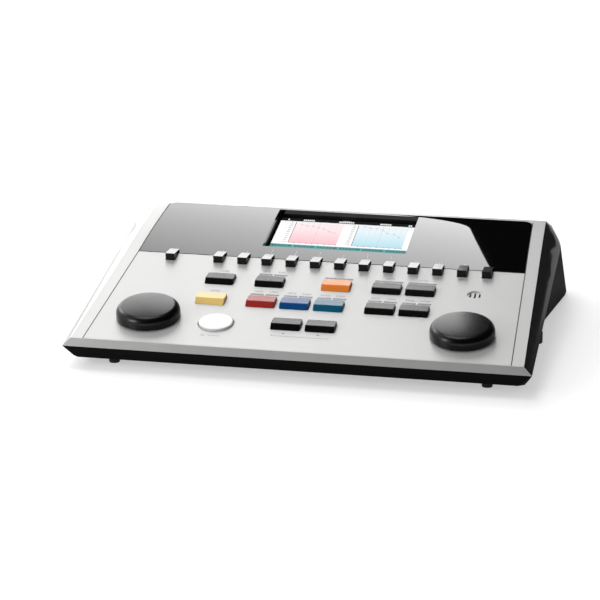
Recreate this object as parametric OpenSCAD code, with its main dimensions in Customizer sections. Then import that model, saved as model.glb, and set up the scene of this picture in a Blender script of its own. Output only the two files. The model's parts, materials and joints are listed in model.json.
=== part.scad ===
// Desktop audiometer: a low wedge-shaped console with a sloping deck of keys,
// a screen in a curved panel behind them, and two large dials.
// Millimetres, +Z up, +X to the right, front edge towards -Y.

/* [Body] */
// Width across the two front corners
body_w = 300; // [280:1:340]
// Depth from the front edge to the back wall
body_d = 224; // [215:1:250]
// Height of the front edge, where the bevel meets the lip
tip_z = 15.1; // [14:0.1:20]
// Rise of the front bevel
bevel_rise = 5.2; // [4:0.1:7]
// Run of the front bevel
bevel_run = 1.6; // [1:0.1:4]
// Slope of the deck, degrees
deck_slope = 9; // [8:0.5:11]
// Depth of the display panel, from its joint with the deck to the crown
panel_run = 80.2; // [79:0.1:86]
// Slope of the display panel where it starts, degrees
panel_slope = 11.5; // [10.5:0.5:13]
// Radius of the display panel's curve
panel_r = 705; // [600:5:900]
// Radius of the crown that turns the top into the back wall
crown_r = 15; // [12:0.5:18]
// Slope of the line that parts the upper frame from the base, degrees
belt_slope = 8; // [7.5:0.1:8.5]
// Height of the base's underside over the table, at the front
under_z = 6; // [4:0.5:7]
// Height of the rear legs' underside over the table
leg_z = 1.2; // [0.8:0.1:2]
// How far the rear legs spread past the front corners, each side
leg_flare = 2.8; // [0:0.1:6]
// Wall of the base
base_wall = 2.6; // [2:0.1:3.5]

/* [Side strips and cheeks] */
// Inset of the side strip's outer edge at the front
edge_in_front = 5.3; // [4:0.1:8]
// Inset of the side strip's outer edge at the back
edge_in_back = 13.3; // [10:0.1:16]
// Width of the side strip at the front
strip_front = 7.8; // [7:0.1:11]
// Width of the side strip at the back
strip_back = 8.8; // [8:0.1:12]
// Bulge of the cheek at the back
cheek_bulge = 2.2; // [0:0.1:3]
// Length of the rounded rear corner, from the back wall
corner_l = 42; // [34:1:54]
// Width of the rounded rear corner
corner_w = 30; // [20:1:36]
// Depth of the upper frame under its skin
frame_t = 5; // [4:0.1:6]
// Width of the ledge that carries the two panels
ledge_w = 4.4; // [3:0.1:6]

/* [Deck and display panel] */
// Thickness of the deck panel
deck_t = 2.5; // [2:0.1:3]
// Thickness of the display panel
display_t = 3; // [2.5:0.1:3.5]
// Gap round the two panels
seam_gap = 0.2; // [0.1:0.05:0.4]
// Corner radius of the display panel's top corners
display_corner_r = 6; // [3:0.5:10]
// Width of the screen window
window_w = 98.6; // [97.5:0.1:104]
// Height of the screen window
window_h = 61.6; // [58:0.1:63]
// Distance from the joint to the screen window
window_start = 17; // [15:0.5:19]
// Tilt of the screen, degrees
screen_tilt = 8.3; // [8:0.1:9]
// Depth of the screen under the panel
screen_depth = 6; // [5:0.1:7]
// Wall of the tray round the screen
tray_wall = 2; // [1.5:0.1:2.5]

/* [Screen module] */
// Width of the picture area
picture_w = 95; // [90:0.1:96]
// Height of the picture area
picture_h = 53.9; // [50:0.1:55]
// Distance from the window's lower edge to the picture
picture_up = 6.6; // [2:0.1:7.5]
// Border of the module round the picture
module_border = 5; // [4:0.1:6]
// How much longer the module is at its connector end
module_tail = 1.4; // [0:0.1:2]
// Thickness of the screen module
module_t = 3; // [2.5:0.1:4]

/* [Keys] */
// Spacing of the key columns
key_pitch = 22.33; // [20.5:0.01:23]
// How much further the function keys lie from the first row than the rows from each other
tab_extra = 2.6; // [0:0.1:6]
// Distance from the bevel to the front of the third row
row_three = 27.6; // [26:0.1:29]
// Width of a key
key_w = 19; // [17:0.1:19.5]
// Length of a key
key_l = 13.4; // [12:0.1:14.5]
// Height of a key's front over the deck
key_front_h = 2.9; // [2.4:0.1:4]
// Height of a key's back over the deck
key_back_h = 1.8; // [1.7:0.1:2.4]
// How far a key's front face leans back
key_lean = 3.8; // [1:0.1:4.5]
// Corner radius of a key
key_corner = 1.5; // [0.8:0.1:2.5]
// Gap between a key and the hole it moves in
key_gap = 0.3; // [0.2:0.05:0.5]
// Travel of a key
key_travel = 1.5; // [1:0.1:1.6]
// Thickness of the flange that keeps a key in
flange_t = 1.1; // [0.8:0.1:1.5]
// How far the flange reaches past the key
flange_over = 0.8; // [0.6:0.1:1.2]

/* [Function keys] */
// Spacing of the function keys
tab_pitch = 16.51; // [15:0.01:17.5]
// Width of a function key
tab_w = 6.4; // [5:0.1:8]
// Length of a function key
tab_l = 14.6; // [13:0.1:16]
// Height of a function key's front
tab_front_h = 4.7; // [4:0.1:6]
// Height of a function key's back
tab_back_h = 1.3; // [1:0.1:2.5]
// How far before the joint the function keys start
tab_before = 10.9; // [9:0.1:12.5]
// Corner radius of a function key
tab_corner = 0.8; // [0.5:0.1:1.5]
// Travel of a function key
tab_travel = 1; // [0.5:0.1:1.2]

/* [Light bars] */
// Length of a light bar, from front to back
light_l = 1.3; // [1:0.1:2]
// Gap between the two light bars of a pair
light_split = 1.2; // [0.8:0.1:2]
// Distance from a key's front to its light bars
light_up = 17.1; // [16.5:0.1:19]
// Depth of a light bar under the deck
light_deep = 2.4; // [1.5:0.1:2.5]
// Gap round a light bar
light_gap = 0.08; // [0.05:0.01:0.15]

/* [Dials] */
// Distance of each dial from its side of the console
dial_x = 48; // [44:0.5:50]
// Distance from the bevel to the dial's centre
dial_r = 34.5; // [30:0.5:38]
// Diameter of a dial
dial_d = 41.6; // [36:0.1:46]
// Height of a dial over the deck
dial_h = 10; // [9:0.1:14]
// Gap under a dial
dial_gap = 0.6; // [0.4:0.1:1]
// Width of the dial's rounded shoulder
shoulder_w = 3.1; // [2:0.1:5]
// Height of the dial's rounded shoulder
shoulder_h = 3.5; // [2:0.1:5]
// Depth of the dial's dished top
dish = 0.5; // [0:0.1:1]
// Diameter of the dial's shaft
shaft_d = 6; // [5:0.1:6.5]
// Running clearance round the shaft
shaft_clear = 0.05; // [0.02:0.01:0.08]
// Diameter of the encoder's threaded bushing
bushing_d = 9; // [8:0.1:10]
// Width of the encoder body
encoder_w = 13; // [12:0.1:15]
// How far the threaded bushing stands over the deck
bushing_out = 3; // [2.5:0.1:3.5]
// Height of the encoder's nut
nut_h = 1.8; // [1.2:0.1:2.4]
// How much wider the encoder's nut is than its bushing
nut_over = 4; // [3:0.1:5]
// Floor under the shaft in the encoder
encoder_floor = 1.5; // [1:0.1:2]
// Skin of the dial over the shaft's end
dial_skin = 2; // [1.5:0.1:3]
// Depth of the hollow under the dial, over the deck
dial_hollow = 4.2; // [3.8:0.1:5]
// Bevel at the dial's lower edge
dial_bevel = 0.4; // [0.2:0.1:0.8]

/* [Round button] */
// Distance from the left dial to the round button
button_x = 45.3; // [42:0.1:48]
// Distance from the bevel to the round button's centre
button_r = 31.4; // [28:0.1:33]
// Diameter of the round button
button_d = 22.2; // [20:0.1:24]
// Height of the round button over the deck
button_h = 1.6; // [1:0.1:2.5]
// Gap round the round button
button_gap = 0.8; // [0.5:0.1:1]
// Travel of the round button
button_travel = 1.8; // [1:0.1:2]

/* [Microphone] */
// Distance of the microphone from the right side
mic_x = 47.2; // [44:0.1:52]
// Distance from the microphone to the joint
mic_before = 35.1; // [30:0.1:40]
// Width of a microphone slot
mic_slot_w = 1.2; // [0.8:0.1:1.6]
// Length of the middle microphone slot
mic_slot_l = 7; // [5:0.1:8]
// Spacing of the microphone slots
mic_pitch = 3; // [2:0.1:3.5]
// Diameter of the microphone capsule
capsule_d = 9.7; // [9:0.1:12]
// Height of the microphone capsule
capsule_h = 4; // [3:0.1:5]

/* [Boards] */
// Depth of the key board's top under the deck
board_deep = 11; // [10.5:0.1:11.5]
// Thickness of a circuit board
board_t = 1.6; // [1:0.1:2]
// Distance of the key board's ends from the sides
key_board_x = 32; // [28:0.5:34]
// Distance from the bevel to the key board
key_board_start = 13; // [12:0.5:16]
// How far the key board reaches past the joint
key_board_past = 5.5; // [0:0.5:8]
// Height of the key switches
switch_h = 3.5; // [3:0.1:4]
// Width of a key's switch
switch_w = 6; // [5:0.1:7]
// Width of a function key's switch
tab_switch_w = 5; // [4:0.1:5.5]
// Width of the round button's switch
button_switch_w = 8; // [6:0.1:9]
// How far a switch's plunger stands out of its body
plunger_out = 0.5; // [0.3:0.1:0.8]
// Distance of the outer spacers from the sides
spacer_x = 38; // [36:0.5:40]
// Distance from the bevel to the spacers behind the dials
spacer_front = 62; // [60:0.5:66]
// Distance from the outer back spacers to the joint
spacer_before = 19.5; // [16:0.5:24]
// Diameter of a switch plunger
plunger_d = 3.2; // [2.5:0.1:4]
// Gap between a key and its switch when pressed
press_gap = 0.3; // [0.2:0.05:0.5]
// Diameter of the spacers between deck and key board
spacer_d = 6; // [5:0.1:7]
// Diameter of the small screws
screw_d = 2.5; // [2:0.1:3]
// Diameter of the small screws' heads
screw_head_d = 5; // [4:0.1:5.5]
// Height of the small screws' heads
screw_head_h = 1.6; // [1:0.1:2]
// Height of the main board over the table
main_z = 11; // [10:0.5:13]
// Width of the main board
main_w = 210; // [190:1:220]
// Distance from the back wall to the main board's front edge
main_start = 74; // [72:0.5:77]
// Depth of the main board
main_l = 46; // [44:1:48]
// Distance of the main board's screws from its side edges
main_side_in = 7; // [6:0.1:9]
// Distance of the main board's screws from its front and back edges
main_end_in = 6; // [5.5:0.1:8]
// How far the small screws reach past their board
screw_past = 4; // [3:0.1:4.5]
// Diameter of the posts under the main board
post_d = 7; // [6:0.1:8]

/* [Rear sockets] */
// Distance from the back wall to the connector plate's face
plate_in = 4; // [3:0.1:5]
// Thickness of the connector plate
plate_t = 2; // [1.5:0.1:2.5]
// Width of the connector plate
plate_w = 196; // [180:1:205]
// Height of the connector plate
plate_h = 26; // [24:0.5:28]
// Height of the connector plate's lower edge over the table
plate_z = 8; // [7:0.5:10]
// Spacing of the jack sockets
jack_pitch = 20; // [18:0.5:21]
// Position of the first jack socket
jack_x = -84; // [-86:0.5:-80]
// Diameter of a jack socket's bore
jack_bore = 6.4; // [6.35:0.01:6.6]
// Diameter of a jack socket's bushing
jack_bushing = 9.6; // [9:0.1:11]
// Length of a jack socket
jack_l = 22; // [20:0.5:24]
// Width of a jack socket's body
jack_w = 14; // [12:0.5:16]
// Height of the nut on a jack socket
jack_nut_h = 1.2; // [1:0.1:2]
// How much wider the nut is than the bushing
jack_nut_over = 4.6; // [4:0.1:6]
// Wall at the inner end of a jack socket
jack_end = 2.5; // [1.5:0.1:4]
// How far a jack bushing stands out of the plate
jack_out = 2.4; // [1.5:0.1:3]
// Position of the data socket
data_x = 48; // [44:0.5:52]
// Width of the data socket
data_w = 12; // [11:0.1:13]
// Height of the data socket
data_h = 11; // [10:0.1:12]
// Length of the data socket behind the plate's inner face
data_l = 14; // [12:0.5:16]
// Depth of the data socket's mouth behind that face
data_mouth = 8; // [6:0.5:10]
// Wall of the data socket
data_wall = 1.2; // [0.8:0.1:1.4]
// Gap round the data socket in the plate
data_gap = 0.1; // [0.05:0.05:0.2]
// Position of the power inlet
power_x = 78; // [74:0.5:82]
// Width of the power inlet
power_w = 14; // [12:0.1:16]
// Length of the power inlet behind the plate's inner face
power_l = 14; // [12:0.5:16]
// Depth of the power inlet's bore behind that face
power_deep = 10; // [9:0.5:11]
// How far the power inlet stands out of the plate
power_out = 1; // [0.5:0.1:2]
// Wall of the power inlet's collar
power_wall = 1.5; // [1:0.1:2]
// Bore of the power inlet
power_bore = 6.4; // [5.5:0.1:7]
// Diameter of the power inlet's pin
power_pin = 2; // [1.5:0.1:2.5]

/* [Feet and case screws] */
// Diameter of a front foot
front_foot_d = 7; // [6:0.1:10]
// Distance of each front foot from its side
front_foot_x = 29.5; // [24:0.5:40]
// Distance from the front edge to the front feet
front_foot_y = 17.7; // [16:0.1:24]
// Diameter of a middle foot
mid_foot_d = 10; // [8:0.1:12]
// Distance of each middle foot from its side
mid_foot_x = 8.4; // [8:0.1:12]
// Distance from the front edge to the middle feet
mid_foot_y = 106; // [98:0.5:112]
// Height of the middle feet
mid_foot_h = 7.4; // [7:0.1:7.6]
// Diameter of a rear foot
rear_foot_d = 12; // [10:0.5:14]
// Distance of each rear foot from its side
rear_foot_x = 10; // [7:0.5:16]
// Distance from the back wall to the rear feet
rear_foot_in = 20; // [17:0.5:24]
// How deep the feet sit in the base
foot_seat = 1; // [0.5:0.1:1.5]
// Diameter of a case screw
case_screw_d = 3; // [2.5:0.1:3.5]
// Diameter of a case screw's head
case_head_d = 6; // [5:0.1:6.5]
// Height of a case screw's head
case_head_h = 2.2; // [1.5:0.1:2.5]
// Diameter of the bosses round the case screws
boss_d = 9; // [8:0.1:10]
// How far the case screws reach into the upper frame
screw_bite = 3; // [2:0.1:3.5]
// Inset of the case screws from the front corners
case_screw_in = 12.2; // [11.5:0.1:13]
// Distance from the front edge to the front case screws
case_front = 34; // [30:0.5:38]
// How far the rear case screws lie past the joint
case_past = 14.5; // [10:0.5:18]
// How much further in the rear case screws lie
case_rear_in = 3.4; // [3:0.1:4]

/* [Hidden] */
fine = 64;
far = 400;
half_w = body_w / 2;
bevel_top = tip_z + bevel_rise;
crown_cy = body_d - crown_r;
crown_a = asin((panel_r * sin(panel_slope) - panel_run) / (panel_r + crown_r));
crown_y = crown_cy - crown_r * sin(crown_a);
joint_y = crown_y - panel_run;
joint_z = bevel_top + (joint_y - bevel_run) * tan(deck_slope);
deck_l = (joint_y - bevel_run) / cos(deck_slope);
arc_y = joint_y + panel_r * sin(panel_slope);
arc_z = joint_z - panel_r * cos(panel_slope);
crown_cz = arc_z + sqrt(pow(panel_r, 2) - pow(arc_y - crown_y, 2)) - crown_r * cos(crown_a);
mid_in = 6;
foot_in_front = 3.6;
leg_w = half_w + leg_flare;
leg_y = body_d - 11.3;
lip_back = 4;
corner_y = body_d - corner_l;
tab_start = deck_l - tab_before;
row_pitch = (tab_start - row_three - tab_extra) / 3;
mic_r = deck_l - mic_before;
key_board_end = deck_l + key_board_past;
main_y = body_d - main_start;
dial_at = half_w - dial_x;
button_at = button_x - dial_at;
mic_at = half_w - mic_x;
key_board_w = body_w - 2 * key_board_x;
rest_gap = 0.3;
spacer_mid_in = 2.5;
stem_l = 0.8;
crown_split = belt_slope + asin((tip_z + crown_cy * tan(belt_slope) - crown_cz) * cos(belt_slope) / crown_r);
split_y = crown_cy + crown_r * cos(crown_split);
belt_stops = [for (i = [0 : 8]) corner_y + (split_y - corner_y) * sin(i * 90 / 8)];
row_r = [row_three + 2 * row_pitch, row_three + row_pitch, row_three];
// column, row and number of light bars of each key
key_spots = [[0, 0, 0], [1.5, 0, 2], [3.5, 0, 1], [5, 0, 1], [6, 0, 1], [0, 1, 0], [1.5, 1, 2],
  [2.5, 1, 2], [3.5, 1, 2], [5, 1, 2], [6, 1, 2], [2.5, 2, 0], [3.5, 2, 0]];
tab_slots = [0, 2, 3, 4, 5, 6, 7, 8, 9, 10, 11, 12, 13];
key_low = -deck_t - rest_gap - flange_t;
tab_low = -display_t - rest_gap - flange_t;
stem_low = key_low - stem_l;
stem_d = 4;
spacer_spots = concat(
  [for (s = [-1, 1], r = [spacer_front, deck_l - spacer_before]) [s * (half_w - spacer_x), r]],
  [[-key_pitch / 2, row_three + row_pitch * 2 + key_l - spacer_mid_in],
    [spacer_d / 2 - key_pitch / 2, row_three - spacer_d - spacer_mid_in]]);
main_spots = [for (y = [main_end_in, main_l - main_end_in], s = [-1, 0, 1])
  [s * (main_w / 2 - main_side_in), main_y + y]];
case_places = [[case_front, 0], [joint_y + case_past, case_rear_in]];
plate_mid_z = plate_z + plate_h / 2;
plate_back = body_d - plate_in;
socket_front = plate_back - plate_t;

function edge_x(y) = half_w - edge_in_front - (edge_in_back - edge_in_front) * y / body_d;
function seam_x(y) = edge_x(y) - strip_front - (strip_back - strip_front) * y / body_d;
function deck_z(y) = bevel_top + (y - bevel_run) * tan(deck_slope);
function arc_top(y, d) = arc_z + sqrt(pow(panel_r - d, 2) - pow(arc_y - y, 2));
function crown_top(y) = crown_cz + sqrt(max(0, pow(crown_r, 2) - pow(y - crown_cy, 2)));
function top_z(y) = y <= joint_y ? deck_z(y) : y <= crown_y ? arc_top(y, 0) : crown_top(y);
function belt_z(y) = tip_z + y * tan(belt_slope);
function corner(y) = sqrt(max(0, 1 - pow(max(0, y - corner_y) / (body_d - corner_y), 2)));
function belt_x(y) = half_w - corner_w * (1 - corner(y));
function top_x(y) = min(edge_x(y), belt_x(y) - 1);
function swell(y) = cheek_bulge * y / body_d;
function mid_x(y) = (top_x(y) + belt_x(y)) / 2 + 0.6 * swell(y);
function mid_z(y) = (top_z(y) + belt_z(y)) / 2 + 0.8 * swell(y);
function slice_at(y) = [[top_x(y), y, top_z(y)], [mid_x(y), y, mid_z(y)], [belt_x(y), y, belt_z(y)]];
function floor_z(y) = under_z + base_wall - (y - joint_y) * (under_z - leg_z) / (leg_y - 8 - joint_y);
function crown_point(a) = [body_d - crown_r + crown_r * cos(a), crown_cz + crown_r * sin(a)];
function both(pts) = concat(pts, [for (p = pts) [-p[0], p[1], p[2]]]);

module solid_round(pts) {
  hull() polyhedron(points = pts, faces = [[for (i = [0 : len(pts) - 1]) i]]);
}

// the outer form above the belt line, in two convex halves that meet at the joint
module upper_form() {
  solid_round(both(concat(
    [[half_w, 0, tip_z], [half_w - edge_in_front, bevel_run, bevel_top]], slice_at(joint_y))));
  solid_round(both(concat(
    [for (y = [joint_y : (crown_y - joint_y) / 8 : crown_y + 0.01]) each slice_at(y)],
    [for (i = [0 : 6]) let (p = crown_point(82 - i * (82 - crown_split) / 6)) [top_x(p[0]), p[0], p[1]]],
    [for (y = belt_stops) [belt_x(y), y, belt_z(y)]])));
}

// the outer form below it
module lower_form() {
  solid_round(both([[half_w, 0, tip_z], [half_w, joint_y, belt_z(joint_y)],
    [half_w - 9, lip_back, under_z + 0.6], [half_w - 5, lip_back + 4, under_z + 0.2],
    [half_w - foot_in_front, lip_back + 12, under_z], [half_w - mid_in, joint_y, under_z]]));
  solid_round(both(concat([[half_w, joint_y, belt_z(joint_y)]],
    [for (y = belt_stops) [belt_x(y), y, belt_z(y)]],
    [for (i = [0 : 3]) let (p = crown_point(crown_split * (1 - i / 3))) [top_x(p[0]), p[0], p[1]]],
    [[half_w - mid_in, joint_y, under_z], [leg_w - 0.3, leg_y - 8.7, leg_z], [leg_w, leg_y, leg_z],
     [leg_w - 3, leg_y + 7, leg_z], [leg_w - 10, body_d - 1, leg_z], [leg_w - 16, body_d, leg_z + 0.5]])));
}

module belt_plane_up() {
  translate([0, 0, tip_z]) rotate([belt_slope, 0, 0]) translate([-far / 2, -60, 0]) cube([far, far, 100]);
}

// a profile in Y and Z, carried across the width
module across(w) {
  rotate([90, 0, 90]) linear_extrude(height = w, center = true) children();
}

// a plan shape, narrowed by d, whose sides follow the seams
module seam_plan(y0, y1, d) {
  polygon([[-(seam_x(y0) - d), y0], [seam_x(y0) - d, y0], [seam_x(y1) - d, y1], [-(seam_x(y1) - d), y1]]);
}

// the mitred plan that keeps the strips and the front bevel
module frame_plan() {
  y1 = body_d + 10;
  polygon([[-(half_w - edge_in_front), bevel_run], [-edge_x(y1), y1], [edge_x(y1), y1],
    [half_w - edge_in_front, bevel_run], [half_w + 2 * edge_in_front, -2 * bevel_run],
    [-(half_w + 2 * edge_in_front), -2 * bevel_run]]);
}

// the space inside the upper frame
module frame_space() {
  intersection() {
    linear_extrude(height = 100) polygon([[-(edge_x(0) - 3), 5], [edge_x(0) - 3, 5],
      [edge_x(body_d) - 3, body_d], [-(edge_x(body_d) - 3), body_d]]);
    across(far) polygon(concat([[4, -5], [4, deck_z(4) - frame_t]],
      [for (y = [joint_y : 12 : crown_y]) [y, top_z(y) - frame_t]],
      [for (a = [80, 60, 40, 20, 0]) [crown_cy + (crown_r - 4) * cos(a), crown_cz + (crown_r - 4) * sin(a)]],
      [[crown_cy + crown_r - 4, -5]]));
  }
}

// everything deeper than d under the display panel's curve
module arc_solid(d) {
  translate([0, arc_y, arc_z]) rotate([0, 90, 0]) cylinder(h = far, r = panel_r - d, center = true, $fn = 720);
}

// everything under the display panel's lower face, with a flat for each few millimetres
module under_panel() {
  y1 = crown_y + 4;
  across(far) polygon(concat([[joint_y, 0]],
    [for (i = [0 : 20]) let (y = joint_y + i * (y1 - joint_y) / 20) [y, arc_top(y, display_t)]], [[y1, 0]]));
}

module deck_place() {
  translate([0, bevel_run, bevel_top]) rotate([deck_slope, 0, 0]) children();
}

module screen_place() {
  translate([0, joint_y, joint_z]) rotate([screen_tilt, 0, 0]) children();
}

module centred() {
  translate([0, -body_d / 2, 0]) children();
}

module pad(w, l, r) {
  square([w - 2 * r, l], center = true);
  square([w, l - 2 * r], center = true);
  for (sx = [-1, 1], sy = [-1, 1]) translate([sx * (w / 2 - r), sy * (l / 2 - r)]) circle(r = r, $fn = 32);
}

module display_plan(d) {
  y1 = crown_y - d;
  r = display_corner_r;
  difference() {
    seam_plan(joint_y + d, y1, d);
    for (s = [-1, 1]) translate([s * (seam_x(y1) - d), y1]) difference() {
      square([2 * r, 2 * r], center = true);
      translate([-s * r, -r]) circle(r = r, $fn = 48);
    }
  }
}

// the keys' holes, in the deck's own plane
module key_holes(g) {
  for (k = key_spots) translate([(k[0] - 3) * key_pitch, row_r[k[1]] + key_l / 2])
    pad(key_w + 2 * g, key_l + 2 * g, key_corner + g);
}

module tab_holes(g) {
  for (i = tab_slots) translate([(i - 6.5) * tab_pitch, tab_start + tab_l / 2])
    pad(tab_w + 2 * g, tab_l + 2 * g, tab_corner + g);
}

module light_marks(g) {
  for (k = key_spots) if (k[2] > 0) {
    n = k[2];
    w = (key_w - (n - 1) * light_split) / n;
    for (i = [0 : n - 1])
      translate([(k[0] - 3) * key_pitch - key_w / 2 + w / 2 + i * (w + light_split),
        row_r[k[1]] + light_up + light_l / 2])
        square([w + 2 * g, light_l + 2 * g], center = true);
  }
}

// the space inside the base
module base_space() {
  top_in = half_w - base_wall - 1;
  back = socket_front - 3;
  solid_round(both([[top_in, lip_back, tip_z + 8], [top_in, joint_y, belt_z(joint_y) + 8],
    [half_w - foot_in_front - base_wall - 1, lip_back + 6, under_z + base_wall],
    [half_w - mid_in - base_wall - 1, joint_y, under_z + base_wall]]));
  solid_round(both([[top_in, joint_y - 1, belt_z(joint_y) + 8], [top_in, corner_y, belt_z(corner_y) + 8],
    [half_w - mid_in - base_wall - 1, joint_y - 1, under_z + base_wall],
    [leg_w - base_wall - 1.5, leg_y - 8, leg_z + base_wall], [leg_w - 16, back, leg_z + base_wall],
    [half_w - corner_w, back, 55]]));
}

module bottom_shell() {
  color("#161617") difference() {
    lower_form();
    base_space();
    plate_window();
    screw_wells(case_screw_d + 0.4);
    mid_foot_pair();
    rear_foot_pair();
    front_foot_pair();
  }
  color("#161617") difference() {
    union() {
      main_posts();
      difference() { case_bosses(); belt_plane_up(); }
    }
    screw_wells(case_screw_d + 0.4);
    main_screw_holes(screw_d / 2 - 0.1);
  }
}

module plate_window() {
  translate([-plate_w / 2 + 3, body_d - 12, plate_z + 2]) cube([plate_w - 6, 20, plate_h - 4]);
  translate([-plate_w / 2 - 0.2, socket_front, plate_z - 0.2]) cube([plate_w + 0.4, 20, plate_h + 0.4]);
}

module case_spots() {
  for (s = [-1, 1], p = case_places) translate([s * (half_w - case_screw_in - p[1]), p[0], 0]) children();
}

module case_bosses() {
  case_spots() translate([0, 0, under_z + 1]) cylinder(h = 50, d = boss_d, $fn = fine);
}

module screw_wells(d) {
  case_spots() {
    translate([0, 0, -1]) cylinder(h = under_z + case_head_h + 1.5, d = case_head_d + 0.4, $fn = fine);
    cylinder(h = 60, d = d, $fn = fine);
  }
}

// the case screws' shafts, which end in the upper frame
module case_shafts(d) {
  for (s = [-1, 1], p = case_places) {
    z0 = under_z + case_head_h + 0.5;
    translate([s * (half_w - case_screw_in - p[1]), p[0], z0])
      cylinder(h = belt_z(p[0]) + screw_bite - z0, d = d, $fn = fine);
  }
}

module main_posts() {
  for (p = main_spots) {
    z0 = floor_z(p[1]) - base_wall / 2;
    translate([p[0], p[1], z0]) cylinder(h = main_z - z0, d = post_d, $fn = fine);
  }
}

module main_screw_holes(r) {
  for (p = main_spots) translate([p[0], p[1], main_z - screw_past - 1.5]) cylinder(h = 10, r = r, $fn = fine);
}

module top_frame() {
  color("#c9cacc") difference() {
    intersection() {
      upper_form();
      union() {
        linear_extrude(height = 100) frame_plan();
        case_bosses();
      }
    }
    difference() { frame_space(); case_bosses(); }
    panel_seat();
    screen_place() translate([-window_w / 2 - tray_wall - 0.2, window_start - tray_wall - 0.2, -20])
      cube([window_w + 2 * tray_wall + 0.4, window_h + 2 * tray_wall + 0.4, 22]);
    intersection() {
      linear_extrude(height = 100) seam_plan(bevel_run + 4, crown_y - 4, ledge_w);
      across(far) polygon([[bevel_run + 4, -5], [bevel_run + 4, 100], [crown_y - 4, 100], [crown_y - 4, -5]]);
    }
    case_shafts(case_screw_d);
  }
}

// the recess that the deck panel and the display panel lie in
module panel_seat() {
  intersection() {
    linear_extrude(height = 100) seam_plan(bevel_run + 0.6, joint_y, 0);
    deck_place() translate([-far / 2, 0, -deck_t]) cube([far, deck_l + 2, 30]);
  }
  difference() {
    linear_extrude(height = 100) display_plan(0);
    arc_solid(display_t);
  }
}

module cheek(s) {
  difference() {
    intersection() {
      upper_form();
      translate([s > 0 ? 0 : -far / 2, -20, 0]) cube([far / 2, far, 100]);
    }
    linear_extrude(height = 100) frame_plan();
    case_bosses();
  }
}

module left_cheek() { color("#8d8f92") cheek(-1); }

module right_cheek() { color("#8d8f92") cheek(1); }

module deck_panel() {
  color("#c4c5c7") deck_place() difference() {
    translate([0, 0, -deck_t]) linear_extrude(height = deck_t) difference() {
      y0 = 0.6 / cos(deck_slope) + seam_gap;
      y1 = deck_l - seam_gap;
      polygon([[-(seam_x(bevel_run + 0.6) - seam_gap), y0], [seam_x(bevel_run + 0.6) - seam_gap, y0],
        [seam_x(joint_y) - seam_gap, y1], [-(seam_x(joint_y) - seam_gap), y1]]);
      key_holes(key_gap);
      tab_holes(key_gap);
      light_marks(light_gap);
      for (s = [-1, 1]) translate([s * dial_at, dial_r]) circle(d = bushing_d + 0.4, $fn = fine);
      translate([button_at, button_r]) circle(d = button_d + 2 * button_gap, $fn = fine);
      for (i = [-1 : 1]) translate([mic_at + i * mic_pitch, mic_r])
        square([mic_slot_w, mic_slot_l - 2 * abs(i)], center = true);
    }
    translate([mic_at, mic_r, -0.8]) cylinder(h = 3, d1 = capsule_d - 1, d2 = capsule_d + 5, $fn = fine);
  }
}

module display_panel() {
  color("#0b0b0c") difference() {
    intersection() {
      arc_solid(0);
      translate([0, 0, joint_z - 12]) linear_extrude(height = 60) display_plan(seam_gap);
    }
    arc_solid(display_t);
    screen_place() translate([-window_w / 2, window_start, -20]) cube([window_w, window_h, 40]);
    deck_place() translate([0, 0, -20]) linear_extrude(height = 40) tab_holes(key_gap);
  }
}

module screen_tray() {
  w = window_w + 2 * tray_wall;
  h = window_h + 2 * tray_wall;
  color("#121213") difference() {
    intersection() {
      screen_place() translate([-w / 2, window_start - tray_wall, -screen_depth]) cube([w, h, 20]);
      under_panel();
    }
    screen_place() translate([-window_w / 2, window_start, -20]) cube([window_w, window_h, 40]);
  }
}

module screen_module() {
  w = picture_w + 2 * module_border;
  h = picture_h + 2 * module_border + module_tail;
  color("#2a2c30") screen_place()
    translate([-w / 2, window_start + picture_up - module_border - module_tail / 2, -screen_depth - module_t])
      cube([w, h, module_t]);
}

module dial() {
  r = dial_d / 2;
  top_r = r - shoulder_w;
  shoulder = [for (a = [0 : 9 : 90]) [top_r + shoulder_w * cos(a), dial_h - shoulder_h + shoulder_h * sin(a)]];
  difference() {
    rotate_extrude($fn = 96) polygon(concat(
      [[0, dial_gap], [r - dial_bevel, dial_gap], [r, dial_gap + dial_bevel]], shoulder,
      [[top_r - 1.5, dial_h - dish], [0, dial_h - dish]]));
    cylinder(h = dial_h - dial_skin, d = shaft_d, $fn = fine);
    cylinder(h = dial_hollow, d = bushing_d + 1.5 * nut_over, $fn = fine);
  }
}

module dial_spot(s) { deck_place() translate([s * dial_at, dial_r, 0]) children(); }

module left_dial() { color("#101011") dial_spot(-1) dial(); }

module right_dial() { color("#101011") dial_spot(1) dial(); }

module shaft() {
  low = encoder_floor + 0.5 - board_deep;
  translate([0, 0, low]) cylinder(h = dial_h - dial_skin - low, d = shaft_d, $fn = fine);
}

module left_shaft() { color("#a9abae") dial_spot(-1) shaft(); }

module right_shaft() { color("#a9abae") dial_spot(1) shaft(); }

module encoder() {
  low = -board_deep;
  difference() {
    union() {
      translate([-encoder_w / 2, -encoder_w / 2, low]) cube([encoder_w, encoder_w, board_deep - deck_t]);
      translate([0, 0, -deck_t]) cylinder(h = deck_t + bushing_out, d = bushing_d, $fn = fine);
      cylinder(h = nut_h, d = bushing_d + nut_over, $fn = 6);
    }
    translate([0, 0, low + encoder_floor]) cylinder(h = 30, d = shaft_d + 2 * shaft_clear, $fn = fine);
  }
}

module left_encoder() { color("#7d8084") dial_spot(-1) encoder(); }

module right_encoder() { color("#7d8084") dial_spot(1) encoder(); }

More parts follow.
